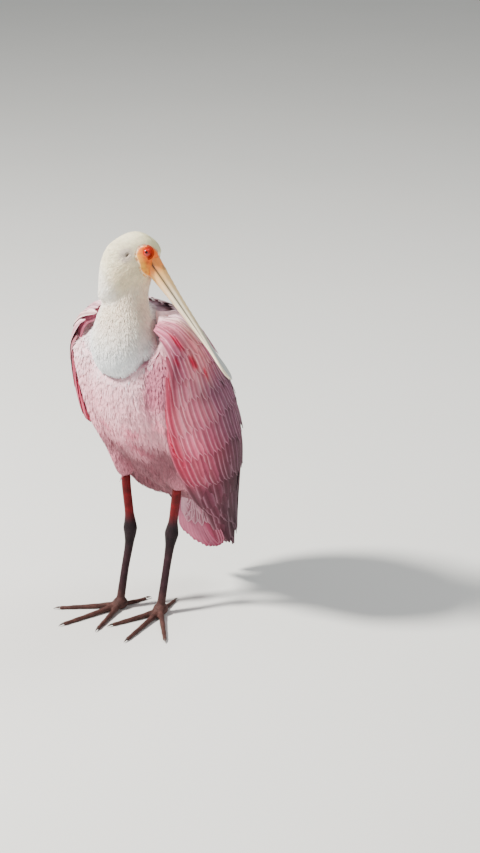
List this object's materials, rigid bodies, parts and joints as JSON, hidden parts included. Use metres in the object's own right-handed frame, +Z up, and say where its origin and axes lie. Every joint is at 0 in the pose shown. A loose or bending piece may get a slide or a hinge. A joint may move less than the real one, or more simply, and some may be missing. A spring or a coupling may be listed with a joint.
{
  "type": "roseate spoonbill",
  "caption": "Life-size still model of a roseate spoonbill standing with its neck drawn in, its head turned to its left and its long spoon-ended bill hanging beside the wing.",
  "frame": {"origin": "middle of the whole bird on the floor", "axes": "+Z up, +X the bird's left, and the breast faces -Y"},
  "size_m": [0.2291, 0.2487, 0.4913],
  "materials": {
    "breast": "soft pale pink breast, belly and thigh feathers",
    "white_plumage": "white to cream neck and head feathers",
    "wing": "rose pink vanes with carmine lesser coverts",
    "tail": "rose vanes with a carmine edge",
    "bill": "satin horn, greenish grey on the spoon",
    "eye": "wet red eye",
    "leg": "scaled dark red skin, blackish at the joints",
    "claw": "dark horn"
  },
  "bodies": {
    "root": {"torso": "breast", "neck_base": "white_plumage", "neck_bend": "white_plumage", "neck_upper": "white_plumage", "head": "white_plumage", "eye_right": "eye", "eye_left": "eye", "bill_upper": "bill", "bill_lower": "bill", "wing_left": "wing", "wing_right": "wing", "tail": "tail", "thigh_right": "breast", "shank_right": "leg", "ankle_right": "leg", "tarsus_right": "leg", "foot_right": "leg", "toe_inner_right": "leg", "claw_inner_right": "claw", "toe_middle_right": "leg", "claw_middle_right": "claw", "toe_outer_right": "leg", "claw_outer_right": "claw", "toe_hind_right": "leg", "claw_hind_right": "claw", "thigh_left": "breast", "shank_left": "leg", "ankle_left": "leg", "tarsus_left": "leg", "foot_left": "leg", "toe_inner_left": "leg", "claw_inner_left": "claw", "toe_middle_left": "leg", "claw_middle_left": "claw", "toe_outer_left": "leg", "claw_outer_left": "claw", "toe_hind_left": "leg", "claw_hind_left": "claw"}
  },
  "joints": []
}
